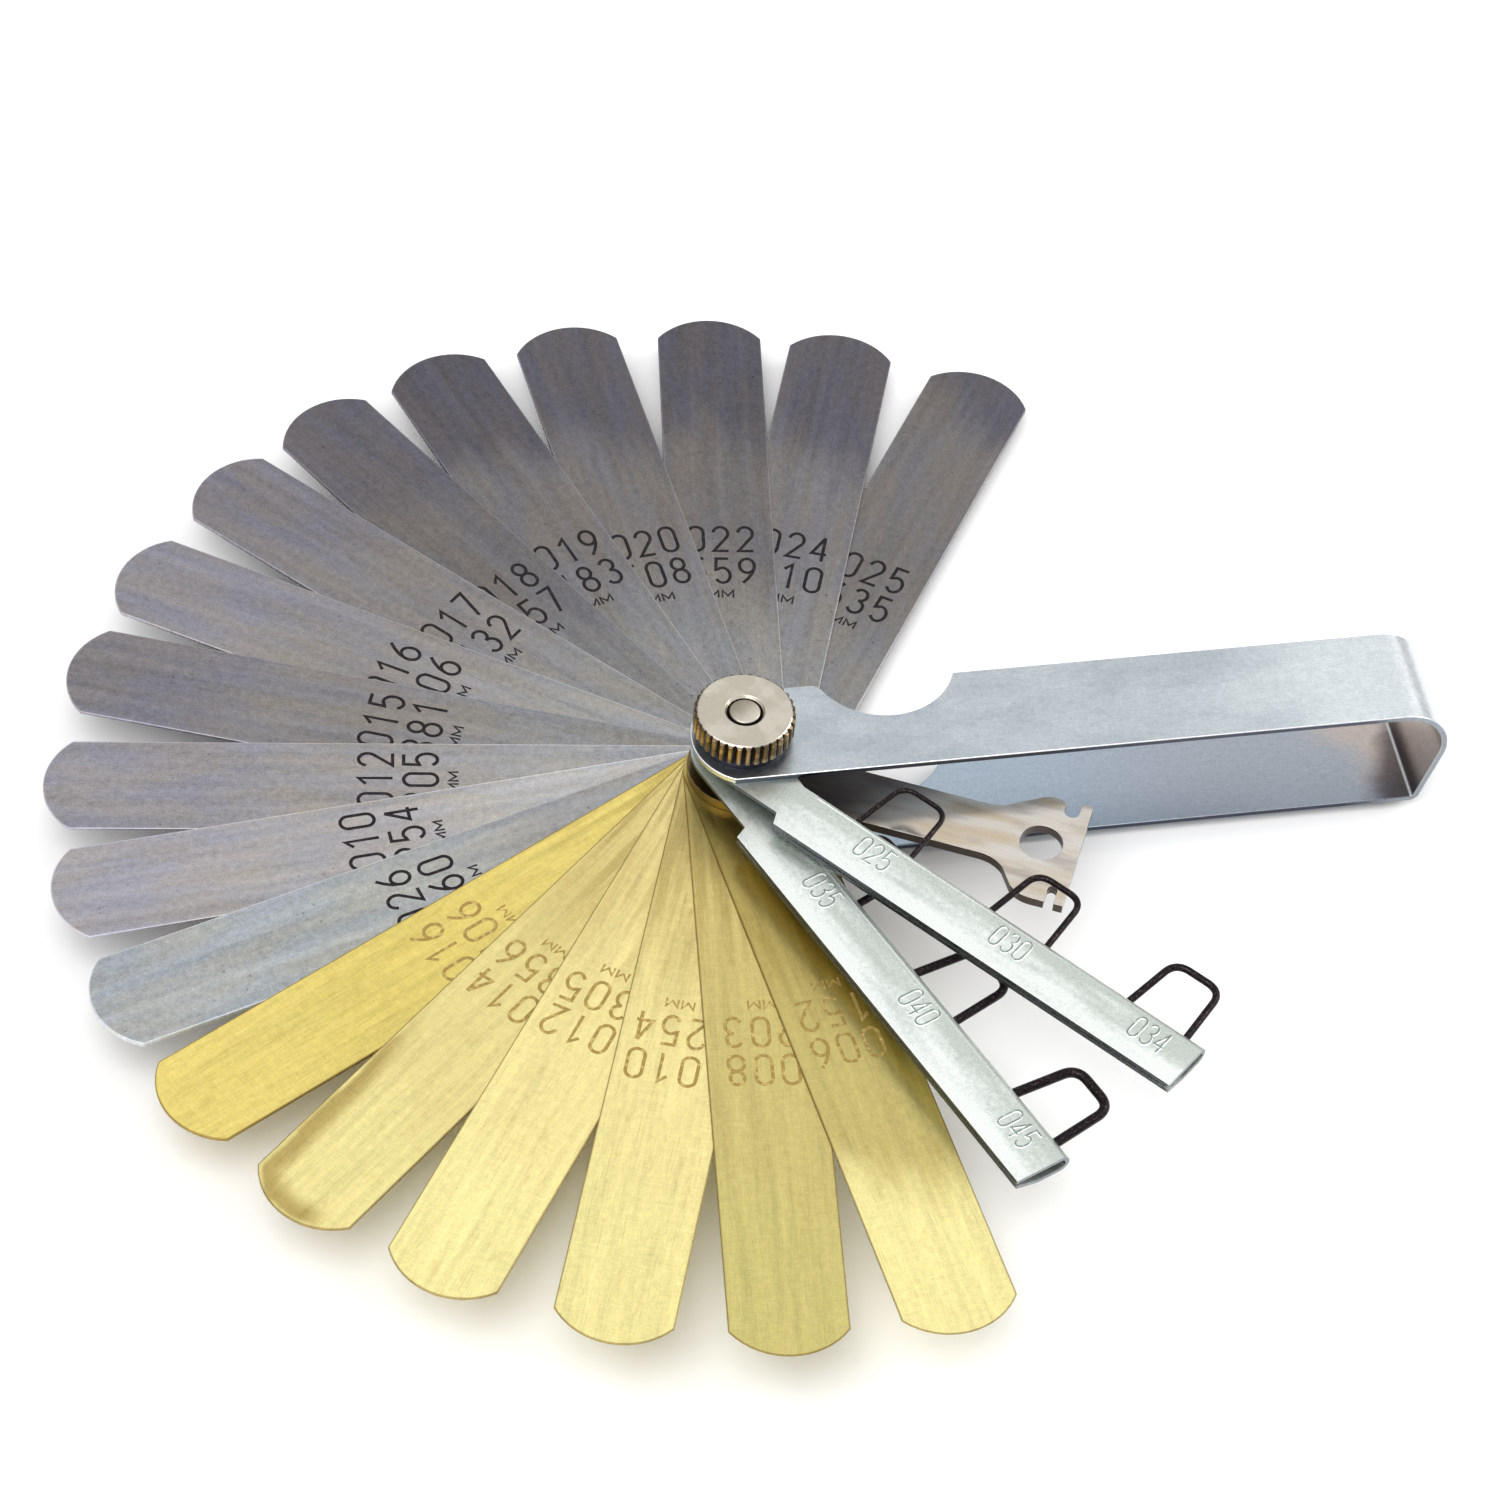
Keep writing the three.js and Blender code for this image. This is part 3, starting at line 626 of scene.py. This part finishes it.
def add_stroke(shape, points, closed, width, low, high):
    """A thin closed ribbon that follows the points."""
    points = [Vector(p) for p in points]
    left, right = offsets(points, closed, width / 2)
    rings = []
    for a, b in zip(left, right):
        rings.append([shape.verts.new((p.x, p.y, z)) for p, z in
                      ((a, low), (a, high), (b, high), (b, low))])
    pairs = list(zip(rings, rings[1:] + rings[:1])) if closed else list(zip(rings, rings[1:]))
    for one, two in pairs:
        for i in range(4):
            j = (i + 1) % 4
            shape.faces.new((one[i], one[j], two[j], two[i]))
    if not closed:
        shape.faces.new(rings[0][::-1])
        shape.faces.new(rings[-1])


def write(shape, text, place, height, width, pitch, squeeze=1.0):
    """Adds a line of glyphs. place turns (right, up) millimetres into the arm's (u, v)."""
    for index, character in enumerate(text):
        for order, (points, closed) in enumerate(glyphs[character]):
            drawn = [place(index * pitch + x * height * squeeze, y * height) for x, y in points]
            top = MARK_LIFT + MARK_THICKNESS + order * STROKE_STEP
            add_stroke(shape, drawn, closed, width, MARK_LIFT, top)


def marks_piece(name, lines, body, material):
    """Marks on the top face of an arm's sheet, from a list of write() arguments."""
    shape = bmesh.new()
    for line in lines:
        write(shape, *line)
    bmesh.ops.recalc_face_normals(shape, faces=shape.faces)
    shape.transform(arm_matrix(rest_angle[body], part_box(body)[1].z))
    mesh_data = bpy.data.meshes.new(name)
    shape.to_mesh(mesh_data)
    shape.free()
    return settle(name, mesh_data, material, body)


# ---- pieces ----------------------------------------------------------------------------------

def leaf_marks(node, look, material):
    """The thickness in inches, in millimetres below it, and the unit mark."""
    inches = int(node[-3:]) / 1000
    first = look["shift"] + DIGIT_PITCH + GLYPH_WIDTH * DIGIT_HEIGHT / 2
    second = look["row"] - ROW_PITCH
    unit = look["row"] - UNIT_DROP

    def row(outer, height, start):
        return lambda right, up: (outer - height + up, start - right)

    lines = []
    for outer, number in ((look["row"], inches), (second, inches * INCH)):
        for text, start in ((f"{number:.3f}"[2:], first), (".", first + POINT_START)):
            place = row(outer, DIGIT_HEIGHT, start)
            lines.append((text, place, DIGIT_HEIGHT, ETCH_STROKE, DIGIT_PITCH))
    unit_place = row(unit, UNIT_HEIGHT, look["shift"] + UNIT_START)
    lines.append(("MM", unit_place, UNIT_HEIGHT, UNIT_STROKE, UNIT_PITCH))
    marks_piece(node + "_marks", lines, node, material)


def make_leaves():
    black = ink_finish("etched_black", (26, 22, 24), (46, 40, 44), 4.0)
    brown = ink_finish("struck_brown", (146, 122, 66), (188, 165, 100), 7.0)
    for index, (node, look) in enumerate(leaf_looks.items()):
        steel = node.startswith("steel")
        finish = (steel_leaf_finish if steel else brass_leaf_finish)(node, look, index * 31.7)
        thickness = (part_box(node)[1].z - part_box(node)[0].z) / MM
        dressed_copy(node, finish, min(LEAF_EDGE, thickness * LEAF_EDGE_SHARE))
        leaf_marks(node, look, black if steel else brown)


def loop_path(distance):
    """The middle line of a wire loop, in its holder's (u, v)."""
    lean = (LOOP_BASE - LOOP_TOP) / 2 / (LOOP_HEIGHT + FOLD_EDGE)

    def side_point(side, across):
        return Vector((distance + side * (LOOP_BASE / 2 - lean * (across + FOLD_EDGE)), across))

    shoulder = LOOP_HEIGHT - LOOP_BEND

    def corner(side, steps=12):
        start, middle = side_point(side, shoulder), side_point(side, LOOP_HEIGHT)
        end = middle - Vector((side * LOOP_BEND, 0.0))
        shares = [i / steps for i in range(steps + 1)]
        return [start * (1 - t) ** 2 + middle * 2 * t * (1 - t) + end * t ** 2 for t in shares]

    return [side_point(-1, -LEG_DEPTH)] + corner(-1) + corner(1)[::-1] + [side_point(1, -LEG_DEPTH)]


def swept_wire(path, radius, sides=14):
    """A round wire along a flat path, closed at both ends."""
    shape = bmesh.new()
    rings = []
    for i, here in enumerate(path):
        run = (path[min(i + 1, len(path) - 1)] - path[max(i - 1, 0)]).normalized()
        across = Vector((-run.y, run.x))
        ring = []
        for k in range(sides):
            turn = math.tau * k / sides
            spot = here + across * radius * math.cos(turn)
            ring.append(shape.verts.new((spot.x, spot.y, radius * math.sin(turn))))
        rings.append(ring)
    for one, two in zip(rings, rings[1:]):
        for k in range(sides):
            n = (k + 1) % sides
            shape.faces.new((one[k], one[n], two[n], two[k]))
    shape.faces.new(rings[0][::-1])
    shape.faces.new(rings[-1])
    bmesh.ops.recalc_face_normals(shape, faces=shape.faces)
    return shape


def make_loop(node, holder, distance, size, material):
    """One wire loop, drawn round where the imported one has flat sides."""
    low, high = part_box(node)
    shape = swept_wire(loop_path(distance), size / 1000 * INCH / 2)
    shape.transform(arm_matrix(rest_angle[holder], (low.z + high.z) / 2))
    mesh_data = bpy.data.meshes.new(node + "_drawn")
    shape.to_mesh(mesh_data)
    shape.free()
    settle(node + "_drawn", shaded(mesh_data), material, holder, node)


def stamp_number(name, holder, distance, size, material, shift, lift):
    """A wire's diameter on its holder, shifted sideways and lifted by these lengths."""
    start = distance - STAMP_START + shift

    def place(right, up):
        return (start + right, STAMP_FOOT + up - shift)

    line = (f".{size:03d}", place, STAMP_HEIGHT, STAMP_STROKE, STAMP_PITCH, STAMP_SQUEEZE)
    piece = marks_piece(name, [line], holder, material)
    piece.location.z = lift * MM


def make_holders():
    wire = wire_finish()
    # Each stamped number is drawn as strokes of painted shade, with strokes of painted highlight beside
    # them.
    groove_shade = ink_finish("stamped_groove_shade", (112, 122, 116), (168, 178, 172), 11.0)
    ridge_highlight = ink_finish("stamped_ridge_highlight", (238, 244, 240), (214, 222, 218), 13.0)
    holders = {"heavy_wire_holder": (35, 40, 45), "light_wire_holder": (25, 30, 34)}
    for index, (holder, sizes) in enumerate(holders.items()):
        dressed_copy(holder, holder_finish(holder, 5.0 + 40 * index), HOLDER_EDGE)
        for order, size in enumerate(sizes):
            node = f"wire_loop_{size:03d}"
            distance = FIRST_LOOP + order * LOOP_PITCH
            make_loop(node, holder, distance, size, wire)
            stamp_number(node + "_ridge_highlight", holder, distance, size, ridge_highlight, RIDGE_HIGHLIGHT_SHIFT, 0.0)
            stamp_number(node + "_groove_shade", holder, distance, size, groove_shade, 0.0, GROOVE_SHADE_LIFT)


def make_hub():
    """The case, the screw, the nut and the bending tool."""
    dressed_copy("case", case_finish(), CASE_EDGE)
    dressed_copy("pivot_screw", screw_finish(), SCREW_EDGE)
    dressed_copy("knurled_nut", nut_finish(), NUT_EDGE)
    dressed_copy("gap_bending_tool", tool_finish(), TOOL_EDGE)


# ---- studio ----------------------------------------------------------------------------------

def make_floor():
    half = 2.0
    mesh_data = bpy.data.meshes.new("pale_floor")
    z = solid_low.z
    corners = [(-half, -half, z), (half, -half, z), (half, half, z), (-half, half, z)]
    mesh_data.from_pydata(corners, [], [(0, 1, 2, 3)])
    floor = bpy.data.objects.new("pale_floor", mesh_data)
    bpy.context.scene.collection.objects.link(floor)
    paint = Finish("pale_floor_paint", 0.0)
    paint.shader.inputs["Base Color"].default_value = (0.93, 0.93, 0.93, 1.0)
    paint.shader.inputs["Roughness"].default_value = 0.9
    paint.shader.inputs["Specular IOR Level"].default_value = 0.1
    mesh_data.materials.append(paint.material)


def make_light(name, place, size, power, colour=(1.0, 1.0, 1.0)):
    lamp = bpy.data.lights.new(name, "AREA")
    lamp.size = size
    lamp.energy = power
    lamp.color = colour
    light = bpy.data.objects.new(name, lamp)
    light.location = place
    light.rotation_euler = Vector(place).to_track_quat("Z", "Y").to_euler()
    bpy.context.scene.collection.objects.link(light)


def make_studio():
    make_floor()
    make_light("overhead_softbox", (-0.30, -0.35, 0.90), 0.70, 5.0)
    make_light("end_softbox", (0.75, 0.10, 0.50), 0.45, 2.4)
    world = bpy.data.worlds.new("studio")
    bpy.context.scene.world = world
    world.use_nodes = True
    sky = Nodes(world.node_tree)
    way = sky.add("ShaderNodeTexCoord")
    height = sky.add("ShaderNodeSeparateXYZ", None, {0: way}, 2)
    shade = sky.mix((0.22, 0.20, 0.19, 1.0), (1.0, 1.0, 1.0, 1.0), sky.rise(height, 0.02, 0.55))
    glow = sky.add("ShaderNodeBackground", None, {"Color": shade})
    end = sky.tree.nodes.new("ShaderNodeOutputWorld")
    sky.tree.links.new(glow.socket, end.inputs[0])
    bpy.context.scene.view_settings.view_transform = "Standard"


def make_camera():
    azimuth, elevation, roll = math.radians(-13.9), math.radians(50.03), math.radians(5.39)
    distance = 0.5568
    target = Vector((0.0, 0.0, 7.0 * MM))
    back = Vector((math.sin(azimuth) * math.cos(elevation),
                   -math.cos(azimuth) * math.cos(elevation), math.sin(elevation)))
    level = Vector((math.cos(azimuth), math.sin(azimuth), 0.0))
    across = Matrix.Rotation(roll, 3, back) @ level
    lens = bpy.data.cameras.new("camera")
    lens.sensor_width = 36.0
    lens.lens = 117.84
    lens.shift_x = 0.0082
    lens.shift_y = 0.0260
    camera = bpy.data.objects.new("camera", lens)
    camera.location = target + back * distance
    camera.rotation_mode = "QUATERNION"
    camera.rotation_quaternion = Matrix((across, back.cross(across), back)).transposed().to_quaternion()
    bpy.context.scene.collection.objects.link(camera)
    bpy.context.scene.camera = camera


make_camera()
make_leaves()
make_holders()
make_hub()
make_studio()
